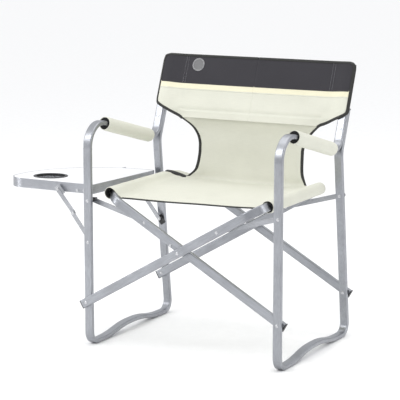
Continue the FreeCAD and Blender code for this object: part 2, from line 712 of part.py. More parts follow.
problems = [o.Name for o in doc.Objects if "Invalid" in o.State or "Error" in o.State]
problems += [n.Label for n in nodes if n.Shape.isNull() or not n.Shape.isValid() or n.Shape.Volume <= 0]
if problems:
    raise RuntimeError(f"failed objects: {problems}")

os.makedirs("parts", exist_ok=True)
whole = FreeCAD.BoundBox()
for node in nodes:
    node.Shape.exportStep(f"parts/{node.Label}.step")
    whole.add(node.Shape.BoundBox)
print(f"{len(nodes)} sub-parts; box {whole}")
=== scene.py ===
"""Director chair: cloth, pads, bindings, stitching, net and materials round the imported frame."""

import json
import math

import bmesh
import bpy
import numpy as np
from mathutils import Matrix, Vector

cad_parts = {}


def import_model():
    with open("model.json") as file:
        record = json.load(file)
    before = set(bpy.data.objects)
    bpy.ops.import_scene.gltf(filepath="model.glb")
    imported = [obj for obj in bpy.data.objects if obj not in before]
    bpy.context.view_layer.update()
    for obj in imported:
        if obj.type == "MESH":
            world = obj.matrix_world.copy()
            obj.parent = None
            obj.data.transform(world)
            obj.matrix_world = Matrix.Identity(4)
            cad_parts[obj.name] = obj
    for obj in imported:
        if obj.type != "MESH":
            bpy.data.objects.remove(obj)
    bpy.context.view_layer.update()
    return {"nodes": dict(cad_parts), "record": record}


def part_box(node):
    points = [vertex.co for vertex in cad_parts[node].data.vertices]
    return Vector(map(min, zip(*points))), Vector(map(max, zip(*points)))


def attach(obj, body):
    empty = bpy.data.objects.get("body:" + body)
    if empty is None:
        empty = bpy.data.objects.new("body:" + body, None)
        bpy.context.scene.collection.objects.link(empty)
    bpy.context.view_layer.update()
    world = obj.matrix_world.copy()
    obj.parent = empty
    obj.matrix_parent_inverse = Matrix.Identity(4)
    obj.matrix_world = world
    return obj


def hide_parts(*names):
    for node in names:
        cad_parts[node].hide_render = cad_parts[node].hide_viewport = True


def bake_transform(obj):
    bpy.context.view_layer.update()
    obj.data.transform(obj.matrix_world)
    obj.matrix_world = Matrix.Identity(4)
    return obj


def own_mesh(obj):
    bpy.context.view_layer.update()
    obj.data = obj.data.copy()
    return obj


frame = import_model()
nodes = frame["nodes"]
scene = bpy.context.scene

# Shapes are worked out in millimetres in chair coordinates: middle plane X 0, the front legs'
# centre line Y 0, floor Z 0. world() turns them into metres in the model's frame.
MM = 0.001
HALF_TUBE = 6.5  # half the depth of the side frames' flat tube
left_box, right_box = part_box("left_side_frame"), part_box("right_side_frame")
ORIGIN = np.array([(left_box[0][0] + right_box[1][0]) / 2, left_box[0][1] + HALF_TUBE * MM, 0.0])
SIDES = ((-1, "left"), (1, "right"))

POST_X, POST_Y, POST_Z = 300.0, 407.0, 616.6
LEAN = math.radians(22)
POST_UP = np.array([0, math.sin(LEAN), math.cos(LEAN)])
POST_FRONT = np.array([0, -math.cos(LEAN), math.sin(LEAN)])
RAIL_X, RAIL_Z, RAIL_TURN = 246.0, 444.86, math.radians(29.97)
CLOTH = 1.6  # thickness of the cloth


def world(points):
    """Metres in the model's frame from millimetres in chair coordinates."""
    return np.asarray(points, float) * MM + ORIGIN


def unit(v):
    return v / np.maximum(np.linalg.norm(v, axis=-1, keepdims=True), 1e-9)


def curve(value, points):
    """Smooth curve through (x, y) points: monotone between them, flat outside them."""
    xs, ys = np.array(points, float).T
    value = np.clip(value, xs[0], xs[-1])
    step = np.diff(ys) / np.diff(xs)
    slope = np.concatenate([[step[0]], (step[1:] + step[:-1]) / 2, [step[-1]]])
    slope[1:-1][step[1:] * step[:-1] <= 0] = 0
    k = np.clip(np.searchsorted(xs, value, side="right") - 1, 0, len(xs) - 2)
    width = xs[k + 1] - xs[k]
    t = (value - xs[k]) / width
    return ((2 * t**3 - 3 * t**2 + 1) * ys[k] + (t**3 - 2 * t**2 + t) * width * slope[k]
            + (3 * t**2 - 2 * t**3) * ys[k + 1] + (t**3 - t**2) * width * slope[k + 1])


def smooth(value, low, high):
    """Eased step from 0 at low to 1 at high; low may be the larger of the two."""
    t = np.clip((value - low) / (high - low), 0, 1)
    return t * t * (3 - 2 * t)


def run_length(path):
    """Distance along a path at each of its points."""
    return np.concatenate([[0], np.cumsum(np.linalg.norm(np.diff(path, axis=0), axis=1))])


def resampled(path, step):
    """Points at even steps along a path, half a step in from its ends."""
    run = run_length(path)
    places = np.arange(step / 2, run[-1], step)
    return np.stack([np.interp(places, run, path[:, k]) for k in range(path.shape[1])], -1)


def facing(direction, count):
    """One direction for each point of a row."""
    return np.tile(direction, (count, 1))


def laid_flat(across, along):
    """Flat coordinates of cloth in metres, from millimetres across and along it."""
    return np.stack(np.broadcast_arrays(across, along), -1) * MM


# ---------------------------------------------------------------- materials

def grey(value):
    return (value, value, value)


def new_material(name):
    material = bpy.data.materials.new(name)
    material.use_nodes = True
    tree = material.node_tree
    return material, tree, tree.nodes["Principled BSDF"]


def add(tree, kind, **settings):
    """Adds a node; lower-case settings are its properties, others are input values."""
    node = tree.nodes.new("ShaderNode" + kind)
    for key, value in settings.items():
        if key[0].islower():
            setattr(node, key, value)
        else:
            node.inputs[key.replace("_", " ")].default_value = value
    return node


def maths(tree, operation, first, second=None):
    node = add(tree, "Math", operation=operation)
    for socket, value in zip(node.inputs, (first, second)):
        if isinstance(value, (int, float)):
            socket.default_value = value
        elif value is not None:
            tree.links.new(value, socket)
    return node.outputs[0]


def ramp(tree, factor, stops, interpolation="LINEAR"):
    node = add(tree, "ValToRGB")
    node.color_ramp.interpolation = interpolation
    elements = node.color_ramp.elements
    while len(elements) < len(stops):
        elements.new(0.5)
    for element, (place, colour) in zip(elements, stops):
        element.position = place
        element.color = (*colour, 1)
    tree.links.new(factor, node.inputs[0])
    return node.outputs[0]


def mixed(tree, factor, first, second, blend_type="MIX"):
    node = add(tree, "Mix", data_type="RGBA", blend_type=blend_type)
    for socket, value in ((node.inputs[0], factor), (node.inputs[6], first), (node.inputs[7], second)):
        if isinstance(value, bpy.types.NodeSocket):
            tree.links.new(value, socket)
        elif isinstance(value, tuple):
            socket.default_value = (*value, 1)
        else:
            socket.default_value = value
    return node.outputs[2]


def bump(tree, shader, height, distance, strength=1.0):
    node = add(tree, "Bump", Distance=distance, Strength=strength)
    tree.links.new(height, node.inputs["Height"])
    tree.links.new(node.outputs[0], shader.inputs["Normal"])


def noise(tree, vector, scale, detail=4.0, roughness=0.55):
    node = add(tree, "TexNoise", Scale=scale, Detail=detail, Roughness=roughness)
    tree.links.new(vector, node.inputs["Vector"])
    return node.outputs["Fac"]


def stretched(tree, vector, scale):
    node = add(tree, "Mapping")
    node.inputs["Scale"].default_value = scale
    tree.links.new(vector, node.inputs["Vector"])
    return node.outputs[0]


def metal(name, colour, roughness, grain, scratch=0.35, turn=0.0):
    """Satin metal with stains and scuffs; its drawn grain runs where the grain scale is lowest."""
    material, tree, shader = new_material(name)
    turned = add(tree, "Mapping")
    turned.inputs["Rotation"].default_value = (0, turn, 0)
    tree.links.new(add(tree, "TexCoord").outputs["Object"], turned.inputs["Vector"])
    place = turned.outputs[0]
    fine = noise(tree, stretched(tree, place, grain), 1.0, 3.0)
    cloud = noise(tree, place, 11.0, 5.0)
    scuff = noise(tree, place, 160.0, 6.0, 0.7)
    dark = tuple(c * 0.78 for c in colour)
    tint = mixed(tree, ramp(tree, cloud, [(0.35, grey(0)), (0.7, grey(1))]), colour, dark)
    streaks = ramp(tree, fine, [(0.36, grey(0)), (0.66, grey(0.62))])
    tint = mixed(tree, streaks, tint, tuple(c * 0.62 for c in colour))
    tree.links.new(tint, shader.inputs["Base Color"])
    shader.inputs["Metallic"].default_value = 1.0
    wear = maths(tree, "MULTIPLY", maths(tree, "SUBTRACT", scuff, 0.5), scratch)
    worn = maths(tree, "ADD", wear, roughness - 0.06)
    rough = maths(tree, "ADD", worn, maths(tree, "MULTIPLY", fine, 0.14))
    tree.links.new(rough, shader.inputs["Roughness"])
    bump(tree, shader, fine, 0.00007, 0.7)
    return material


def plastic(name, colour, roughness, texture_scale=900.0):
    """Matt plastic, foam, cord or paint with fine grains and slight clouds of a lighter tone."""
    material, tree, shader = new_material(name)
    place = add(tree, "TexCoord").outputs["Object"]
    grains = noise(tree, place, texture_scale, 2.0)
    cloud = noise(tree, place, 30.0, 3.0)
    tint = mixed(tree, cloud, colour, tuple(min(1, c * 1.35 + 0.004) for c in colour))
    tree.links.new(tint, shader.inputs["Base Color"])
    rough = maths(tree, "ADD", maths(tree, "MULTIPLY", cloud, 0.12), roughness)
    tree.links.new(rough, shader.inputs["Roughness"])
    bump(tree, shader, grains, 0.00008, 0.4)
    return material


def weave_height(tree, flat, pitch):
    """Plain weave: threads over and under each other at the given pitch in metres."""
    parts = add(tree, "SeparateXYZ")
    tree.links.new(flat, parts.inputs[0])
    turns = 2 * math.pi / pitch
    across = maths(tree, "SINE", maths(tree, "MULTIPLY", parts.outputs[0], turns))
    along = maths(tree, "SINE", maths(tree, "MULTIPLY", parts.outputs[1], turns))
    return maths(tree, "MULTIPLY", across, along), parts.outputs[1]


BAND_SPAN = 0.4  # height of cloth, in metres, that a run of coloured bands covers


def cloth(name, colours, edges=(), sheen=0.08, pitch=0.0017):
    """Woven cloth. colours run up the cloth, one more than the heights (metres) in edges."""
    material, tree, shader = new_material(name)
    flat = add(tree, "Attribute", attribute_type="GEOMETRY", attribute_name="flat").outputs["Vector"]
    weave, height = weave_height(tree, flat, pitch)
    base = colours[0]
    if edges:
        stops = [(0, base)] + [(edge / BAND_SPAN, c) for edge, c in zip(edges, colours[1:])]
        base = ramp(tree, maths(tree, "DIVIDE", height, BAND_SPAN), stops, "CONSTANT")
    cloud = noise(tree, flat, 7.0, 4.0)
    slub = noise(tree, stretched(tree, flat, (40, 900, 1)), 1.0, 2.0)
    patches = ramp(tree, cloud, [(0.3, grey(0)), (0.75, grey(0.16))])
    soft = mixed(tree, patches, base, (0.59, 0.60, 0.57), "MULTIPLY")
    threads = mixed(tree, maths(tree, "MULTIPLY", slub, 0.16), soft, (0.2, 0.2, 0.18), "MULTIPLY")
    shade = maths(tree, "MULTIPLY", maths(tree, "ADD", weave, 1.0), 0.05)
    tint = mixed(tree, shade, threads, grey(0.1), "MULTIPLY")
    tree.links.new(tint, shader.inputs["Base Color"])
    rough = maths(tree, "ADD", maths(tree, "MULTIPLY", cloud, 0.1), 0.78)
    tree.links.new(rough, shader.inputs["Roughness"])
    shader.inputs["Sheen Weight"].default_value = sheen
    shader.inputs["Sheen Roughness"].default_value = 0.45
    crumple = noise(tree, flat, 38.0, 3.0)
    threads_up = maths(tree, "MULTIPLY", weave, 0.12)
    relief = maths(tree, "ADD", threads_up, maths(tree, "MULTIPLY", crumple, 0.9))
    bump(tree, shader, relief, 0.0011, 0.55)
    return material


CREAM, STRIPE, CHARCOAL = (0.765, 0.765, 0.665), (0.90, 0.86, 0.65), (0.031, 0.029, 0.036)
TUBE_COLOUR, TUBE_ROUGHNESS = (0.415, 0.428, 0.458), 0.34
SLANT = 1 / math.cos(LEAN)  # length up the leaning cloth for each unit of height
BACK_ZERO = 600.0
STRIPE_Z, BAND_Z = 703.5, 720.8  # where the light stripe and the dark band begin


def back_height(z):
    """Distance up the backrest's cloth, in metres, from the height BACK_ZERO."""
    return (np.asarray(z) - BACK_ZERO) * SLANT * MM


cream = cloth("cream_cloth", [CREAM])
back_cloth = cloth("back_cloth", [CREAM, STRIPE, CHARCOAL],
                   (back_height(STRIPE_Z), back_height(BAND_Z)))
black_tape = cloth("black_tape", [(0.032, 0.032, 0.030)], sheen=0.05, pitch=0.0012)
thread = plastic("cream_thread", (0.50, 0.52, 0.44), 0.7)
thread_light = plastic("grey_thread", (0.40, 0.40, 0.42), 0.7)
thread_pale = plastic("pale_thread", (0.52, 0.52, 0.53), 0.7)
foam = plastic("black_foam", (0.012, 0.012, 0.012), 0.9, 500.0)
patch_cloth = cloth("patch_cloth", [(0.20, 0.20, 0.205)], pitch=0.001)
tube_metal = metal("tube_metal", TUBE_COLOUR, TUBE_ROUGHNESS, (900, 900, 45))
# the seat rails lean, so their grain is turned to run along them
rail_metals = {label: metal(f"rail_metal_{label}", TUBE_COLOUR, TUBE_ROUGHNESS, (900, 900, 30),
                            turn=side * (RAIL_TURN - math.pi / 2))
               for side, label in SIDES}
rim_metal = metal("rim_metal", (0.455, 0.467, 0.50), 0.33, (60, 60, 1600))
bar_metal = metal("bar_metal", (0.465, 0.476, 0.503), 0.35, (90, 900, 900))
rivet_metal = metal("rivet_metal", (0.66, 0.67, 0.69), 0.26, (700, 700, 700), 0.5)
grey_plastic = plastic("grey_plastic", (0.40, 0.41, 0.43), 0.45)
black_plastic = plastic("black_plastic", (0.018, 0.018, 0.019), 0.42)
net_cord = plastic("net_cord", (0.022, 0.022, 0.024), 0.6)
board_white = plastic("board_white", (0.74, 0.75, 0.775), 0.32, 1400.0)

SLOT_MATERIALS = {"tube_aluminium": tube_metal, "bar_aluminium": bar_metal, "rivet_metal": rivet_metal,
                  "black_plastic": black_plastic, "table_white": board_white, "cup_mesh": net_cord,
                  "cloth_cream": cream}
for entry in frame["record"]["subparts"]:
    node = nodes[entry["node"]]
    node.data.materials.clear()
    node.data.materials.append(SLOT_MATERIALS[entry["material_slot"]])
nodes["table_rim"].data.materials[0] = rim_metal
for label, rail_metal in rail_metals.items():
    nodes[f"{label}_seat_rail"].data.materials[0] = rail_metal
nodes["brace_bushes"].data.materials[0] = grey_plastic


# ---------------------------------------------------------------- mesh building

def piece(name, verts, faces, material, flat=None):
    """A visible piece from points in millimetres; flat gives its cloth's flat coordinates."""
    mesh = bpy.data.meshes.new(name)
    corners = [tuple(int(i) for i in face) for face in faces]
    mesh.from_pydata([tuple(v) for v in world(verts)], [], corners)
    if flat is not None:
        values = np.zeros((len(verts), 3), np.float32)
        values[:, :2] = flat
        mesh.attributes.new("flat", "FLOAT_VECTOR", "POINT").data.foreach_set("vector", values.ravel())
    work = bmesh.new()
    work.from_mesh(mesh)
    bmesh.ops.recalc_face_normals(work, faces=work.faces)
    work.to_mesh(mesh)
    work.free()
    mesh.polygons.foreach_set("use_smooth", [True] * len(mesh.polygons))
    mesh.materials.append(material)
    obj = bpy.data.objects.new(name, mesh)
    scene.collection.objects.link(obj)
    return obj


def slopes(grid, axis, closed=False):
    """Direction from point to point along one axis of a grid."""
    if closed:
        return np.roll(grid, -1, axis) - np.roll(grid, 1, axis)
    return np.gradient(grid, axis=axis)


def thick_sheet(grid, thick=CLOTH, closed=False):
    """Sheet with rounded edges from a grid of points; closed joins the first and last row."""
    n, m = grid.shape[:2]
    du, dv = unit(slopes(grid, 0, closed)), unit(slopes(grid, 1))
    half = unit(np.cross(du, dv)) * thick / 2
    index = np.arange(n * m).reshape(n, m)
    rows = np.vstack([index, index[:1]]) if closed else index
    a, b, c, d = rows[:-1, :-1], rows[1:, :-1], rows[1:, 1:], rows[:-1, 1:]
    front = np.stack([a, b, c, d], -1).reshape(-1, 4)
    faces = [front, front[:, ::-1] + n * m]
    out = np.zeros_like(grid)
    out[:, 0] -= dv[:, 0]
    out[:, -1] += dv[:, -1]
    if closed:
        loops = [index[:, 0], index[:, -1]]
    else:
        out[0] -= du[0]
        out[-1] += du[-1]
        loops = [np.concatenate([index[:, 0], index[-1, 1:], index[-2::-1, -1], index[0, -2:0:-1]])]
    verts = [(grid + half).reshape(-1, 3), (grid - half).reshape(-1, 3)]
    source = [index.ravel(), index.ravel()]
    base = 2 * n * m
    for loop in loops:
        rim = grid.reshape(-1, 3)[loop] + unit(out.reshape(-1, 3)[loop]) * thick / 2
        verts.append(rim)
        source.append(loop)
        k = np.arange(len(loop))
        after = np.roll(k, -1)
        faces.append(np.stack([loop[k], loop[after], base + after, base + k], -1))
        faces.append(np.stack([base + k, base + after, loop[after] + n * m, loop[k] + n * m], -1))
        base += len(loop)
    return np.vstack(verts), np.vstack(faces), np.concatenate(source)


def cloth_piece(name, grid, flat, material=cream,
                closed=False, thick=CLOTH):
    verts, faces, source = thick_sheet(grid, thick, closed)
    return piece(name, verts, faces, material, flat.reshape(-1, 2)[source])


def ring_faces(count, ring, capped=True):
    """Faces between successive closed rings of points, and one over each end."""
    index = np.arange(count * ring).reshape(count, ring)
    after = np.roll(index, -1, 1)
    quads = np.stack([index[:-1], index[1:], after[1:], after[:-1]], -1).reshape(-1, 4).tolist()
    return quads + [index[0].tolist(), index[-1][::-1].tolist()] if capped else quads


def swept(path, outward, normal, profile):
    """Closed profile of (outward, normal) offsets carried along a path, with flat ends."""
    verts = path[:, None] + outward[:, None] * profile[:, :1] + normal[:, None] * profile[:, 1:]
    return verts.reshape(-1, 3), ring_faces(len(path), len(profile))


# section of the binding: outwards from the cloth's edge, and out of its face
TAPE = np.array([(-7.5, 0.95), (-7.4, 1.5), (-4, 1.75), (0, 1.8), (1.6, 1.3), (2.2, 0), (1.6, -1.3),
                 (0, -1.8), (-4, -1.75), (-7.4, -1.5), (-7.5, -0.95)])


def tape(name, path, outward, normal):
    """Black binding folded over a cloth's edge."""
    verts, faces = swept(path, unit(outward), unit(normal), TAPE)
    flat = laid_flat(run_length(path)[:, None], TAPE[None, :, 0]).reshape(-1, 2)
    return piece(name, verts, faces, black_tape, flat)


# a stitch is a low pointed bar of six corners
STITCH_FACES = ((0, 2, 1), (0, 3, 2), (0, 5, 3), (0, 1, 5), (4, 1, 2), (4, 2, 3), (4, 3, 5), (4, 5, 1))


def stitches(name, rows, material, pitch=4.2, length=2.9, thick=0.6):
    """Rows of thread; each row is (path, normal) and lies on the cloth's face."""
    verts, faces = [], []
    for path, normal in rows:
        spots = resampled(np.hstack([path, normal]), pitch)
        points, normals = spots[:, :3], unit(spots[:, 3:])
        ahead = unit(np.gradient(points, axis=0))
        side = np.cross(normals, ahead)
        for p, a, s, n in zip(points, ahead, side, normals):
            base = len(verts)
            verts += [p - a * length / 2 - n * 0.3, p + s * thick / 2, p + n * thick * 0.8,
                      p - s * thick / 2, p + a * length / 2 - n * 0.3, p - n * 0.4]
            faces += [tuple(base + corner for corner in face) for face in STITCH_FACES]
    return piece(name, np.array(verts), faces, material)


# ---------------------------------------------------------------- backrest

# outline of the backrest: lower and upper edge height against distance from the middle
OUTER = 316.5
EDGE_X = [(222, 622.5), (234, 624.5), (240, 626.5), (250, 630), (262, 634), (276, 639.5),
          (290, 645), (300, 649.5), (308, 654), (313, 658.5), (315.6, 664), (OUTER, 671)]
TOP_X = [(0, 803.4), (292, 803.4), (301, 802.4), (308, 799.3), (313, 794), (315.7, 788), (OUTER, 781)]
# half width of the cloth between backrest and seat against height
WAIST = [(430, 205), (438, 196), (455, 184.5), (475, 177), (507, 173), (538, 172.5), (560, 177),
         (575, 184.5), (590, 195), (603, 208), (616, 224), (628, 241), (634, 251)]
HEM_Z, HEM_ROWS = 646, (627.5, 639.0)  # top of the hem, and its two rows of stitches
STITCH_COLUMNS = {"left": (232.5, 240.5), "right": (244.5, 252.5)}
# where the binding starts, inwards of the lower corner: distance from the middle, height
TAPE_LEAD = np.array([(223.5, 617.6), (229, 621.2), (235, 624.6)])


def back_points(x, z, depth):
    """Points of the back cloth, depth in front of the posts' middle plane."""
    base = np.stack([x, POST_Y + np.tan(LEAN) * (z - POST_Z), z], -1)
    return base + POST_FRONT * np.asarray(depth)[..., None]


# how far the front and the rear layer stand in front of the posts' middle plane, against
# distance from the middle
OVER_POST = [(0, 0), (240, 0), (250, 0.9), (262, 2.9), (275, 6.0), (286, 8.4), (294, 9.3),
             (302, 9.4), (307, 8.9), (311, 7.6), (314.3, 5.3), (OUTER, 3.4)]
BEHIND_POST = [(240, -1.7), (250, -2.3), (262, -3.8), (275, -6.8), (286, -9.2), (294, -9.9),
               (303, -9.9), (308, -9.0), (312, -6.4), (313.9, -3.0), (314.4, 0.0), (314.8, 1.8)]


def back_sag(x, z):
    """Depth of the stretched back cloth: round the posts, a slight belly, soft folds, the hem."""
    reach = np.abs(x)
    belly = -4.0 * (1 - np.minimum(1, reach / 240) ** 2) * smooth(z, 815, 640)
    low = smooth(z, 712, 690) * smooth(reach, 236, 205)
    folds = 0.7 * np.sin((z - 640) / 9.5 + 0.4 * np.sin(x / 90)) + 0.4 * np.sin(x / 47 + z / 31)
    draw = (0.8 * smooth(reach, 205, 236) * smooth(reach, 262, 240)
            * np.sin(z / 8 + x / 50) * smooth(z, 735, 700))
    tuck = -6.0 * smooth(z, 650, 626) * smooth(reach, 282, 240) * smooth(reach, 150, 232)
    hem = 1.5 * smooth(z, HEM_Z, HEM_Z - 5) - 2.4 * np.exp(-(((z - HEM_Z) / 3.4) ** 2))
    hem = hem * smooth(reach, 242, 232)
    rounded = 1 - 0.75 * smooth(z, 796.5, 803.4)
    return hem + belly + low * folds + draw + tuck + curve(reach, OVER_POST) * rounded


def back_edge_tape(name, x, z):
    """Binding that lies on the back cloth's edge; (x, z) runs anticlockwise round the cloth."""
    step = 2.6
    path = resampled(np.stack([x, z * SLANT], -1), step)
    ahead = unit(np.gradient(path, axis=0))
    outward = np.stack([ahead[:, 1], -ahead[:, 0]], -1)
    spread = path[:, None] + outward[:, None] * (TAPE[:, 0] * 0.85)[None, :, None]
    x, z = spread[..., 0], spread[..., 1] / SLANT
    points = back_points(x, z, back_sag(x, z) + TAPE[:, 1] * 1.15)
    flat = laid_flat(np.arange(len(path))[:, None] * step, TAPE[None, :, 0])
    return piece(name, points.reshape(-1, 3), ring_faces(*x.shape),
                 black_tape, flat.reshape(-1, 2))


def back_half(side, label):
    """Front layer of one half, from the middle to its bound outer edge."""
    reach = np.concatenate([np.linspace(0.03, 236, 56), np.linspace(239, 300, 26),
                            np.linspace(301.2, 314, 13), np.linspace(314.6, OUTER, 8)])[:, None]
    low, high = curve(reach, EDGE_X), curve(reach, TOP_X)
    share = np.linspace(0, 1, 52)
    share = (share + 0.6 * smooth(share, 0, 1)) / 1.6
    z = low + (high - low) * share[None, :]
    x = side * np.broadcast_to(reach, z.shape)
    grid = back_points(x, z, back_sag(x, z))
    flat = np.stack([x * MM, back_height(z)], -1)
    main = cloth_piece(f"back_cloth_{label}", grid, flat, back_cloth)
    first = int(np.searchsorted(reach[:, 0], 241))
    rim_x, rim_z = (np.concatenate([lead, g[first:, 0], g[-1, 1:], g[-2::-1, -1]])
                    for lead, g in ((side * TAPE_LEAD[:, 0], x), (TAPE_LEAD[:, 1], z)))
    bound = back_edge_tape(f"back_tape_{label}", rim_x[::side], rim_z[::side])
    return main, bound, grid


def back_pocket(side, label):
    """Rear layer of the pocket round the post, sewn to the front layer at both its edges."""
    loop = resampled(np.array(BEHIND_POST, float), 2.2)
    reach = loop[:, :1]
    low = curve(reach, EDGE_X) + 18 + 18 * smooth(reach, 262, 288)
    high = curve(reach, TOP_X) - 0.6
    z = low + (high - low) * np.linspace(0, 1, 44)[None, :]
    reach = np.broadcast_to(reach, z.shape)
    closing = smooth(z, 795.5, 803.0)
    depth = loop[:, 1:] * (1 - 0.8 * closing) + 0.3 * np.sin(z / 13 + reach / 6)
    depth = np.where(reach < 296, np.minimum(depth, back_sag(reach, z) - 2.4), depth)
    grid = back_points(side * reach, z, depth)
    across = run_length(loop)[:, None] * MM
    flat = np.stack([np.broadcast_to(across, z.shape), back_height(z)], -1)
    pocket = cloth_piece(f"back_pocket_{label}", grid, flat, back_cloth, thick=1.2)
    normal = unit(np.cross(slopes(grid, 0)[:, 0], slopes(grid, 1)[:, 0]))
    bound = tape(f"back_pocket_tape_{label}", grid[:, 0], grid[:, 0] - grid[:, 1], normal)
    return pocket, bound, grid


def on_back(x, z, lift):
    """Points just in front of the back cloth, and the directions out of it."""
    x, z = np.broadcast_arrays(np.asarray(x, float), np.asarray(z, float))
    points = back_points(x, z, back_sag(x, z) + lift)
    return points, np.broadcast_to(POST_FRONT, points.shape)


def back_details(side, label):
    """Stitch rows and seam ridges of one half of the backrest."""
    front = CLOTH / 2 + 0.1
    across = side * np.linspace(1, 308, 110)
    inner = side * np.linspace(1, 236, 80)
    columns = [side * x for x in STITCH_COLUMNS[label]]
    band = [on_back(np.full(30, x), np.linspace(BAND_Z + 1, 801, 30), front) for x in columns]
    plain = [on_back(np.full(40, x), np.linspace(636, BAND_Z - 1, 40), front) for x in columns]
    plain += [on_back(inner, np.full(80, z), front) for z in HEM_ROWS]
    plain += [on_back(across, np.full(110, STRIPE_Z + 1.5), front)]
    pieces = [stitches(f"back_band_stitches_{label}", band, thread_light, length=3.5, thick=0.8),
              stitches(f"back_stitches_{label}", plain, thread)]
    ridge = np.array([(-1.6, 0.2), (-1.1, 0.9), (0, 1.15), (1.1, 0.9), (1.6, 0.2), (0, -0.3)])
    for number, z in enumerate((STRIPE_Z, BAND_Z)):
        path, normal = on_back(across, np.full(110, z), CLOTH / 2 - 0.15)
        verts, faces = swept(path, facing(POST_UP, 110), normal, ridge)
        # the lower ridge takes the cream of the cloth below it, the upper one the dark of the band
        flat = np.stack([np.repeat(across, len(ridge)) * MM,
                         np.full(len(verts), back_height(z - 1.0 + 3 * number))], -1)
        pieces.append(piece(f"back_seam_{label}_{number}", verts, faces,
                            back_cloth, flat))
    return pieces


PATCH_X, PATCH_Z, PATCH_RADIUS = -197.0, 775.0, 19.5


def on_patch(share, angle):
    """Place across and height of a point of the patch, from its share of the radius."""
    return (PATCH_X + PATCH_RADIUS * share * np.cos(angle),
            PATCH_Z + PATCH_RADIUS * share * np.sin(angle) * math.cos(LEAN))


def round_patch():
    """Plain round patch on the dark band, with a sewn rim."""
    rings, sides = 12, 56
    share = np.linspace(0, 1, rings)[:, None]
    x, z = on_patch(share, np.linspace(0, 2 * math.pi, sides, endpoint=False)[None, :])
    lift = CLOTH / 2 + 0.2 + 0.7 * (1 - smooth(share, 0.95, 1.0))
    verts = back_points(x, z, back_sag(x, z) + lift).reshape(-1, 3)
    flat = np.stack([x * MM, back_height(z)], -1).reshape(-1, 2)
    disc = piece("back_patch", verts, ring_faces(rings, sides, capped=False),
                 patch_cloth, flat)
    turn = np.linspace(0, 2 * math.pi, 97)
    rows = [on_back(*on_patch(reach, turn), CLOTH / 2 + 0.9) for reach in (0.99, 0.89)]
    rim = stitches("back_patch_rim", rows, thread_pale, pitch=1.7, length=2.4, thick=1.9)
    return [disc, rim]


for side, label in SIDES:
    main, bound, main_grid = back_half(side, label)
    pocket, pocket_bound, pocket_grid = back_pocket(side, label)
    extras = [bound, *back_details(side, label)]
    if side < 0:
        extras += round_patch()
    for obj in (main, pocket, pocket_bound, *extras):
        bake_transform(obj)
    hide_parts(f"back_{label}_panel")
    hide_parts(f"{label}_back_sleeve")


# ---------------------------------------------------------------- seat and the cloth behind it

SEAT_LEVEL = 433.0  # height of the seat cloth in its middle
REAR_Y = 424  # where the seat's rear edge meets the cloth behind the sitter
# the seat's rear edge, Y against distance from the middle; the left corner is cut back further
REAR_EDGE = [(0, REAR_Y), (160, REAR_Y), (176, 419), (192, 410), (205, 403), (219, 395), (234, 388)]
CUT_LEFT = [(0, REAR_Y), (150, REAR_Y), (164, 419), (180, 408), (196, 397), (210, 388), (222, 376),
            (232, 363), (244, 350), (256, 352), (266, 364)]
# the wide binding of that corner: its two edges, as (distance from the middle, Y, Z)
WIDE_NEAR = [(164, 419, 433.6), (180, 408, 434.6), (196, 397, 436.2), (210, 388, 438.6),
             (219, 379, 442.5), (226, 371, 448.3), (232, 363, 454.6), (239, 355, 459.6),
             (246, 350, 461.9)]
WIDE_FAR = [(166, 424, 433.6), (182, 421, 434.8), (199, 414, 438.4), (211, 408, 443.6),
            (221, 401, 449.0), (229, 394, 453.2), (235.5, 387, 456.6), (242, 380, 459.4),
            (249, 372, 461.4)]


# the left rail's rear bend: where it starts and its radius
LEFT_BEND_Y, LEFT_BEND = 372.5, 90.0
SLEEVE_RADIUS, LOOP_STEP = 17.4, 2.4  # the seat's sleeve round a rail, and the step of its section
SLEEVE_FRONT = {-1: 29.0, 1: 46.0}  # position Y of the front end of each side's sleeve


def seat_front(x):
    """Position Y of the seat cloth's front edge, which runs a little askew."""
    return 44.0 + 10.0 * np.asarray(x, float) / 215


def sleeve_front(x):
    """Position Y of the front end of the sleeve on the side that x is on."""
    return np.where(x < 0, SLEEVE_FRONT[-1], SLEEVE_FRONT[1])


def seat_z(x, y):
    """Height of the seat cloth, which sags between the rails and ripples a little."""
    rise = 0.12 + 0.88 * smooth(y, 60, 290)
    sag = SEAT_LEVEL + 9.6 * (np.abs(x) / 228) ** 2.3 * rise
    front = 2.0 * x / 215 * smooth(y, 150, 50)
    ripple = 0.5 * np.sin(y / 26 + 1.3 * np.sin(x / 60)) * smooth(np.abs(x), 90, 200)
    return sag + front + ripple + 0.35 * np.sin(x / 33 + y / 90)


def rail_loop():
    """The cloth's section round the right-hand rail, from the lower seam back over the top."""
    turn = np.radians(np.linspace(-118, 116, 40))
    around = np.stack([RAIL_X + SLEEVE_RADIUS * np.cos(turn),
                       RAIL_Z + SLEEVE_RADIUS * np.sin(turn)], -1)
    below = [(217, 440.3), (222, 438.4), (227, 435.5), (231.5, 432.5), (235, 430.4)]
    above = [(233.5, 457.9), (229.5, 453.2), (225, 448.4), (220, 444.6), (214, 442.6)]
    return resampled(np.vstack([below, around, above]), LOOP_STEP)


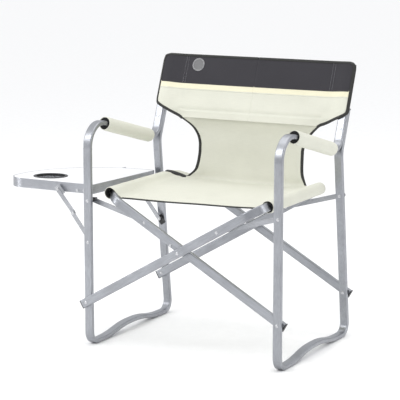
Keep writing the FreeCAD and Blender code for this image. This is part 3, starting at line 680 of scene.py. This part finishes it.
def bend_sleeve():
    """Cloth tube that follows the left rail from under the seat's cut corner round its rear bend."""
    bend = np.radians(np.linspace(0, 56, 26))
    straight = np.linspace(343, LEFT_BEND_Y, 9)[:-1]
    y = np.concatenate([straight, LEFT_BEND_Y + LEFT_BEND * np.sin(bend)])
    inward = np.concatenate([np.zeros(len(straight)), LEFT_BEND * (1 - np.cos(bend))])
    turned = np.concatenate([np.zeros(len(straight)), bend])
    down = np.array([math.cos(RAIL_TURN), 0, -math.sin(RAIL_TURN)])
    upward = np.array([math.sin(RAIL_TURN), 0, math.cos(RAIL_TURN)])
    centre = np.array([-RAIL_X, 0, RAIL_Z]) + down * inward[:, None] + [0, 1.0, 0] * y[:, None]
    across = down * np.cos(turned)[:, None] - [0, 1.0, 0] * np.sin(turned)[:, None]
    turn = np.linspace(0, 2 * math.pi, 48, endpoint=False)
    length = run_length(centre)
    radius = 15.3 + 1.0 * smooth(length, 25, 50) - 0.9 * smooth(length, length[-1] - 9, length[-1])
    radius = radius + 0.25 * np.sin(length / 6 + 2 * np.sin(turn)[:, None]) * smooth(length, 30, 45)
    flatter = 1 - 0.14 * smooth(length, 25, 50) * np.abs(np.cos(turn))[:, None]
    grid = (centre + across * (radius * flatter * np.cos(turn)[:, None])[..., None]
            + upward * (radius * np.sin(turn)[:, None])[..., None])
    flat = laid_flat(turn[:, None] * 16, length[None, :])
    return cloth_piece("seat_sleeve_bend", grid, flat, closed=True, thick=1.2), grid


def seat_surface(loop):
    """Grid of the seat's one cloth, turned round both rails, and its flat coordinates."""
    inner = np.linspace(-209, 209, 85)
    x = np.concatenate([-loop[:, 0], inner, loop[::-1, 0]])[:, None]
    level = np.concatenate([loop[:, 1], np.full(len(inner), np.nan), loop[::-1, 1]])[:, None]
    around = np.arange(len(loop)) * LOOP_STEP
    turned = len(loop) * LOOP_STEP
    run = np.concatenate([around, turned + inner + 209, turned + 420 + around])[:, None]
    wrapped = ~np.isnan(level)
    low_side = np.zeros_like(wrapped)
    low_side[:12] = low_side[-12:] = True
    share = np.linspace(0, 1, 72)[None, :]
    share = (share + 0.5 * smooth(share, 0, 1)) / 1.5
    tube = smooth(np.abs(x), 214, 234)
    front = seat_front(x) + (sleeve_front(x) - seat_front(x)) * tube
    rear = np.where(np.abs(x) > 234, 389.0, curve(np.abs(x), REAR_EDGE))
    over = wrapped & ~low_side & (x < 0)
    rear = np.where(over | (~wrapped & (x < 0)), curve(np.abs(x), CUT_LEFT), rear)
    y = front + (rear - front) * share
    flat_z = seat_z(np.broadcast_to(x, y.shape), y)
    settle = (flat_z - seat_z(210.0, 200.0)) * smooth(np.abs(x), 230, 212)
    z = np.where(wrapped, np.nan_to_num(level) + settle, flat_z)
    out = np.stack([np.abs(np.broadcast_to(x, y.shape)) - RAIL_X, z - RAIL_Z], -1)
    gather = smooth(y, front + 9, front) + smooth(y, rear - 9, rear)
    shrink = 1 - (0.05 * gather - 0.012 * np.sin(y / 17 + z / 9)) * smooth(np.abs(x), 226, 236)
    wide = np.sign(x) * (RAIL_X + out[..., 0] * shrink)
    grid = np.stack([wide, y, RAIL_Z + out[..., 1] * shrink], -1)
    return grid, laid_flat(run, y)


def seat_bindings(loop):
    """Black bindings of the seat's front and rear edges, and the lining of the left sleeve."""
    inner = np.linspace(-222, 222, 110)
    reach = np.abs(inner)
    edge = seat_front(inner) + (sleeve_front(inner) - seat_front(inner)) * smooth(reach, 214, 234)
    lift = np.interp(reach, [212, 217, 222], [0, 0.6, 1.8])
    front = np.stack([inner, edge, seat_z(inner, edge) + lift], -1)
    pieces = [tape("seat_front_tape", front, facing([0, -1.0, 0], 110), facing([0, 0, 1.0], 110))]
    reach = np.linspace(164, 228, 30)
    rear_y = curve(reach, REAR_EDGE)
    rise = np.interp(reach, [212, 216, 220, 225, 229.5], [0, 0.6, 2.2, 5.9, 10.0])
    path = np.stack([reach, rear_y, seat_z(reach, rear_y) + rise], -1)
    pieces.append(tape("seat_rear_tape_right", path,
                       facing([0.3, 0.9, 0.2], 30), facing([0, -0.2, 1.0], 30)))
    near, far = (np.array(rows, float) * [-1, 1, 1] for rows in (WIDE_NEAR, WIDE_FAR))
    strips = 7
    wide = near[:, None] + (far - near)[:, None] * np.linspace(0, 1, strips)[None, :, None]
    t = np.linspace(0, len(near) - 1, 40)
    wide = np.stack([np.stack([curve(t, list(enumerate(wide[:, k, c]))) for c in range(3)], -1)
                     for k in range(strips)], 1)
    wide[..., 2] += 1.0 + 1.2 * np.sin(np.linspace(0, math.pi, strips))[None, :]
    flat = laid_flat(t[:, None] * 9, np.arange(strips)[None, :] * 3.0)
    pieces.append(cloth_piece("seat_rear_tape_left", wide, flat, black_tape,
                              thick=2.6))
    lining = (loop[6:-6] - [RAIL_X, RAIL_Z]) * 0.895 + [RAIL_X, RAIL_Z]
    depth = np.linspace(29.8, 54, 8)[None, :]
    mouth = np.stack(np.broadcast_arrays(-lining[:, None, 0], depth, lining[:, None, 1]), -1)
    flat = laid_flat(np.arange(len(lining))[:, None] * LOOP_STEP, depth)
    pieces.append(cloth_piece("seat_lining_left", mouth, flat, black_tape,
                              thick=1.0))
    return pieces


def seat_stitching():
    """Two rows along the front edge, and one under the seat beside each rail."""
    rows = []
    for inset, lift in ((5.5, 1.8), (11.0, 0.9)):
        spread = np.linspace(-205, 205, 120)
        line = seat_front(spread) + inset
        points = np.stack([spread, line, seat_z(spread, line) + lift], -1)
        rows.append((points, facing([0, 0, 1.0], 120)))
    seam_x, seam_z = 219.0, 437.9
    line = np.linspace(66, 372, 100)
    under = seam_z + (seat_z(seam_x, line) - seat_z(seam_x, 200.0)) * 0.6
    for side in (-1, 1):
        below = np.stack([np.full(100, side * seam_x), line, under], -1)
        rows.append((below, facing([0, 0, -1.0], 100)))
    return stitches("seat_stitches", rows, thread)


def seat():
    """The whole seat: one cloth sewn back to its underside, its bindings and its stitches."""
    loop = rail_loop()
    grid, flat = seat_surface(loop)
    sheet = cloth_piece("seat_cloth", grid, flat)
    return sheet, grid, [*seat_bindings(loop), seat_stitching()]


# the cloth behind the sitter: position Y of its middle line against height, how far its edges
# come forward of that, and its last rows, where it turns into the seat (height, distance forward)
HANG = [(436, 422.5), (444, 425.5), (460, 428.5), (490, 432), (525, 435), (560, 436), (585, 433.2),
        (603, 428), (616, 422.8), (624, 420), (634, 420.2)]
EDGE_FORWARD = [(436, 3), (450, 8), (470, 10), (490, 8.5), (520, 5.5), (560, 4.5), (600, 2.4),
                (612, 3.6), (618, 4.2), (624, 2.6), (630, 1.0), (634, 0.4)]
TURN_IN = np.array([(446.4, 0.0), (443.8, 0.15), (441.4, 0.5), (439.6, 1.1), (438.2, 2.0),
                    (437.2, 3.2), (436.3, 5.0), (435.7, 7.2), (435.4, 9.6), (435.2, 12.5)])
REAR_LEVEL = 433.6  # height of the seat cloth where that cloth meets it


def tongue():
    """Waisted cloth from the backrest's hem down to the seat, running smoothly into it."""
    hanging = np.linspace(634, 449, 60)
    z = np.concatenate([hanging, TURN_IN[:, 0]])[None, :]
    ahead = np.concatenate([np.zeros(len(hanging)), TURN_IN[:, 1]])[None, :]
    share = np.linspace(-1, 1, 75)[:, None]
    x = share * curve(z, WAIST)
    forward = (np.abs(share) ** 2.5) * curve(z, EDGE_FORWARD)
    cut = np.where(x < 0, curve(np.abs(x), CUT_LEFT), curve(np.abs(x), REAR_EDGE))
    flare = (REAR_Y - cut) * smooth(z, 470, 436)
    folds = 0.8 * np.sin(z / 15 + 0.5 * np.sin(x / 55)) * smooth(z, 624, 600) * smooth(z, 446, 470)
    drape = 1.6 * np.sin(z / 34) * np.cos(x / 70) * smooth(z, 624, 590) * smooth(z, 446, 480)
    y = curve(z, HANG) - forward - flare + folds + drape - ahead
    # the last five rows lie on the seat, the lowest first here
    settled = seat_z(x, y) + np.interp(z, TURN_IN[:4:-1, 0], [-0.2, 0.1, 0.5, 1.2, 2.2])
    height = np.broadcast_to(z, x.shape)
    height = height + (seat_z(x, y) - REAR_LEVEL) * smooth(height, 470, 438)
    height = np.where(z < 437.3, settled, height)
    grid = np.stack([x, y, height], -1)
    flat = np.stack([x * MM, back_height(z + 0 * x) + ahead * MM], -1)
    sheet = cloth_piece("back_tongue", grid, flat)
    pieces = []
    normal = unit(np.cross(slopes(grid, 0), slopes(grid, 1)))
    bound = slice(None, -6)  # the bindings end before the cloth lies on the seat
    for row, inside, label in ((0, 1, "left"), (-1, -2, "right")):
        edge = grid[row, bound]
        pieces.append(tape(f"tongue_tape_{label}", edge, edge - grid[inside, bound],
                           normal[row, bound]))
    return sheet, grid, pieces


seat_sheet, seat_grid, seat_pieces = seat()
tongue_sheet, tongue_grid, tongue_pieces = tongue()
bend_sheet, bend_grid = bend_sleeve()
for obj in (seat_sheet, *seat_pieces):
    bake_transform(obj)
for obj in (tongue_sheet, *tongue_pieces):
    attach(obj, "left_side")
    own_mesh(obj)
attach(bend_sheet, "left_seat_frame")
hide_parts("seat_left_panel", "seat_right_panel",
            "left_seat_sleeve", "right_seat_sleeve")
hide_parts("back_gusset")


def ring_solid(name, outer, inner, along, material, slot):
    """Solid between two matching rings of points, carried from the first to the last offset."""
    sides = len(outer)
    verts = np.concatenate([ring + step for step in along for ring in (outer, inner)])
    index = np.arange(len(verts)).reshape(len(along), 2, sides)
    faces = []
    for near, far in zip(index[:-1], index[1:]):
        for ring in (0, 1):
            a, b = near[ring], far[ring]
            faces.append(np.stack([a, np.roll(a, -1), np.roll(b, -1), b], -1))
    for end in (index[0], index[-1]):
        faces.append(np.stack([end[0], np.roll(end[0], -1), np.roll(end[1], -1), end[1]], -1))
    return piece(name, verts, np.vstack(faces), material)


def tube_ring(half_wide, half_deep, angles):
    """Points of a rounded box, one for each angle, measured from its wide direction."""
    power = 6
    c, s = np.cos(angles), np.sin(angles)
    reach = (np.abs(c / half_wide) ** power + np.abs(s / half_deep) ** power) ** (-1 / power)
    return reach * c, reach * s


HOLE = (7.0, 13.0)  # half sizes of the hole that a flat tube fills in its foam
FOAM_RADIUS = 15.6
FOAM_SPAN = {"left": (56.0, 342.0), "right": (47.0, 376.0)}  # position Y of its two ends


def rail_foam(side, label):
    """Black foam tube that fills the seat cloth's sleeve round the rail."""
    angles = np.linspace(0, 2 * math.pi, 48, endpoint=False)
    c, s = math.cos(RAIL_TURN), math.sin(RAIL_TURN)
    hole = np.stack(tube_ring(*HOLE, angles - RAIL_TURN), -1) @ np.array([[c, -s], [s, c]]).T
    outer = np.stack([FOAM_RADIUS * np.cos(angles), FOAM_RADIUS * np.sin(angles)], -1)
    rings = [np.stack([side * (RAIL_X + r[:, 0]), np.zeros(48), RAIL_Z + r[:, 1]], -1)
             for r in (outer, hole)]
    steps = [np.array([0, y, 0]) for y in FOAM_SPAN[label]]
    return ring_solid(f"seat_foam_{label}", *rings, steps, foam, "black_plastic")


for side, label in SIDES:
    core = rail_foam(side, label)
    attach(core, f"{label}_seat_frame")


# ---------------------------------------------------------------- arm pads

ARM_SLOPE, ARM_Z = 0.257, 657.8  # fall of the arms towards the rear, and their height at Y 0
ARM_TURN = math.atan(ARM_SLOPE)
ARM_BACK = np.array([0, math.cos(ARM_TURN), -math.sin(ARM_TURN)])
ARM_UP = np.array([0, math.sin(ARM_TURN), math.cos(ARM_TURN)])
ARM_SIDE = np.array([1.0, 0, 0])
PAD_FRONT, PAD_LENGTH = 92.0, 265.0


def arm_pad(side, label):
    """Cloth cover of an armrest, its foam core, and the stitches under it."""
    centre = np.array([side * POST_X, PAD_FRONT, ARM_Z - ARM_SLOPE * PAD_FRONT])
    turn = np.linspace(0, 2 * math.pi, 64, endpoint=False)[:, None]
    lip = np.array([0, 1.2, 3.5])
    run = np.concatenate([lip, np.linspace(8, PAD_LENGTH - 8, 70), PAD_LENGTH - lip[::-1]])[None, :]
    ends = 1 - 0.05 * (smooth(run, 9, 0) + smooth(run, PAD_LENGTH - 9, PAD_LENGTH))
    soft = 1 + 0.012 * np.sin(run / 21 + 2 * np.sin(turn)) + 0.008 * np.sin(run / 8.5 + turn * 3)
    high, wide = 19.0 * ends * soft, 18.0 * ends * soft
    seam = 0.9 * np.exp(-((turn - 1.5 * math.pi) / 0.05) ** 2)
    points = (centre + ARM_BACK * run[..., None]
              + ARM_SIDE * (np.cos(turn) * (wide + seam))[..., None]
              + ARM_UP * (np.sin(turn) * (high + seam))[..., None])
    skin = cloth_piece(f"arm_pad_{label}", points, laid_flat(turn * 18.5, run),
                       closed=True, thick=1.5)
    angles = turn[:, 0]
    outer, hole = (centre + ARM_SIDE * a[:, None] + ARM_UP * b[:, None] for a, b in
                   ((16.2 * np.cos(angles), 17.2 * np.sin(angles)), tube_ring(*HOLE[::-1], angles)))
    core = ring_solid(f"arm_foam_{label}", outer, hole,
                      [ARM_BACK * 2.2, ARM_BACK * (PAD_LENGTH - 2.2)], foam, "black_plastic")
    line = np.linspace(6, PAD_LENGTH - 6, 80)[:, None]
    rows = [(centre + ARM_BACK * line + ARM_SIDE * offset - ARM_UP * 19.1, facing(-ARM_UP, 80))
            for offset in (-3.2, 3.2)]
    sewn = stitches(f"arm_pad_stitches_{label}", rows, thread)
    return skin, core, sewn


for side, label in SIDES:
    skin, core, sewn = arm_pad(side, label)
    for obj in (skin, core, sewn):
        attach(obj, f"{label}_side")
    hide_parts(f"{label}_arm_pad")


# ---------------------------------------------------------------- cup net

TABLE_SLOPE = -8 / 358  # the board's fall towards the rear
NET_RADIUS, NET_DEPTH, NET_PITCH = 41.5, 17.0, 3.8
CORD = 0.55 * np.array([(1, 1), (-1, 1), (-1, -1), (1, -1)])


def cup_net():
    """Open net of thin cords, dished, hung from the cup ring."""
    low, high = (np.array(corner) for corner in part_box("cup_mesh"))
    centre = ((low + high) / 2 - ORIGIN) / MM
    verts, faces = [], []
    for turned in (False, True):
        for offset in np.arange(-10 * NET_PITCH, 10 * NET_PITCH + 0.1, NET_PITCH):
            reach = math.sqrt(NET_RADIUS**2 - offset**2)
            along = np.linspace(-reach, reach, 24)
            lift = NET_DEPTH * (np.minimum(1, np.hypot(along, offset) / NET_RADIUS) ** 5)
            weave = 0.35 * np.sin(along / NET_PITCH * math.pi + (math.pi if turned else 0))
            a, b = (np.full(24, offset), along) if turned else (along, np.full(24, offset))
            z = centre[2] - NET_DEPTH / 2 + lift + weave + b * TABLE_SLOPE
            path = np.stack([centre[0] + a, centre[1] + b, z], -1)
            ahead = unit(np.gradient(path, axis=0))
            side = unit(np.cross(ahead, [0, 0, 1.0]))
            ring, quads = swept(path, side, np.cross(side, ahead), CORD)
            faces += [[i + len(verts) for i in quad] for quad in quads]
            verts += ring.tolist()
    return piece("cup_net", np.array(verts), faces, net_cord)


net = cup_net()
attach(net, "table")
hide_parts("cup_mesh")


# ---------------------------------------------------------------- studio

FLOOR_REACH, FLOOR_Z = 40000, -0.5
corners = [(x * FLOOR_REACH, y * FLOOR_REACH, FLOOR_Z)
           for x, y in ((-1, -1), (1, -1), (1, 1), (-1, 1))]
floor_paint = plastic("floor_paint", grey(0.93), 0.7, 60.0)
floor = piece("floor", np.array(corners), [(0, 1, 2, 3)], floor_paint)

# soft sky: brightest overhead, dimmer towards the horizon so that the metal has something to show
world_light = bpy.data.worlds.new("studio")
world_light.use_nodes = True
sky = world_light.node_tree
direction = add(sky, "SeparateXYZ")
sky.links.new(add(sky, "TexCoord").outputs["Generated"], direction.inputs[0])
shade = ramp(sky, direction.outputs[2],
             [(0.0, (0.46, 0.47, 0.49)), (0.3, (0.72, 0.73, 0.75)), (1.0, grey(1))])
sky.links.new(shade, sky.nodes["Background"].inputs["Color"])
sky.nodes["Background"].inputs["Strength"].default_value = 1.15
scene.world = world_light


def softbox(name, place, target, size, power):
    """Rectangular lamp that shines from one place at another; its size is in metres."""
    lamp = bpy.data.lights.new(name, "AREA")
    lamp.shape = "RECTANGLE"
    lamp.size, lamp.size_y = size
    lamp.energy = power
    obj = bpy.data.objects.new(name, lamp)
    obj.location = Vector(world(place))
    obj.rotation_euler = (Vector(world(target)) - obj.location).to_track_quat("-Z", "Y").to_euler()
    scene.collection.objects.link(obj)


softbox("key", (-1500, -2300, 2700), (0, 200, 400), (1.3, 1.3), 34)
softbox("top", (0, 600, 3000), (0, 200, 400), (2.2, 2.2), 18)
softbox("strip", (-2600, -1300, 900), (0, 200, 450), (0.3, 1.7), 13)
softbox("rim", (2500, 900, 1300), (0, 200, 450), (0.3, 1.7), 10)

CAMERA_PLACE, CAMERA_TARGET, FOCAL_LENGTH = (2186.3, -3940.0, 1263.1), (-58.5, 222.0, 410.5), 149.4
camera = bpy.data.cameras.new("camera")
camera.sensor_width = 36
camera.lens = FOCAL_LENGTH
camera.clip_end = 50
holder = bpy.data.objects.new("camera", camera)
holder.location = Vector(world(CAMERA_PLACE))
aim = Vector(world(CAMERA_TARGET)) - holder.location
holder.rotation_euler = aim.to_track_quat("-Z", "Y").to_euler()
scene.collection.objects.link(holder)
scene.camera = holder
scene.view_settings.view_transform = "Standard"
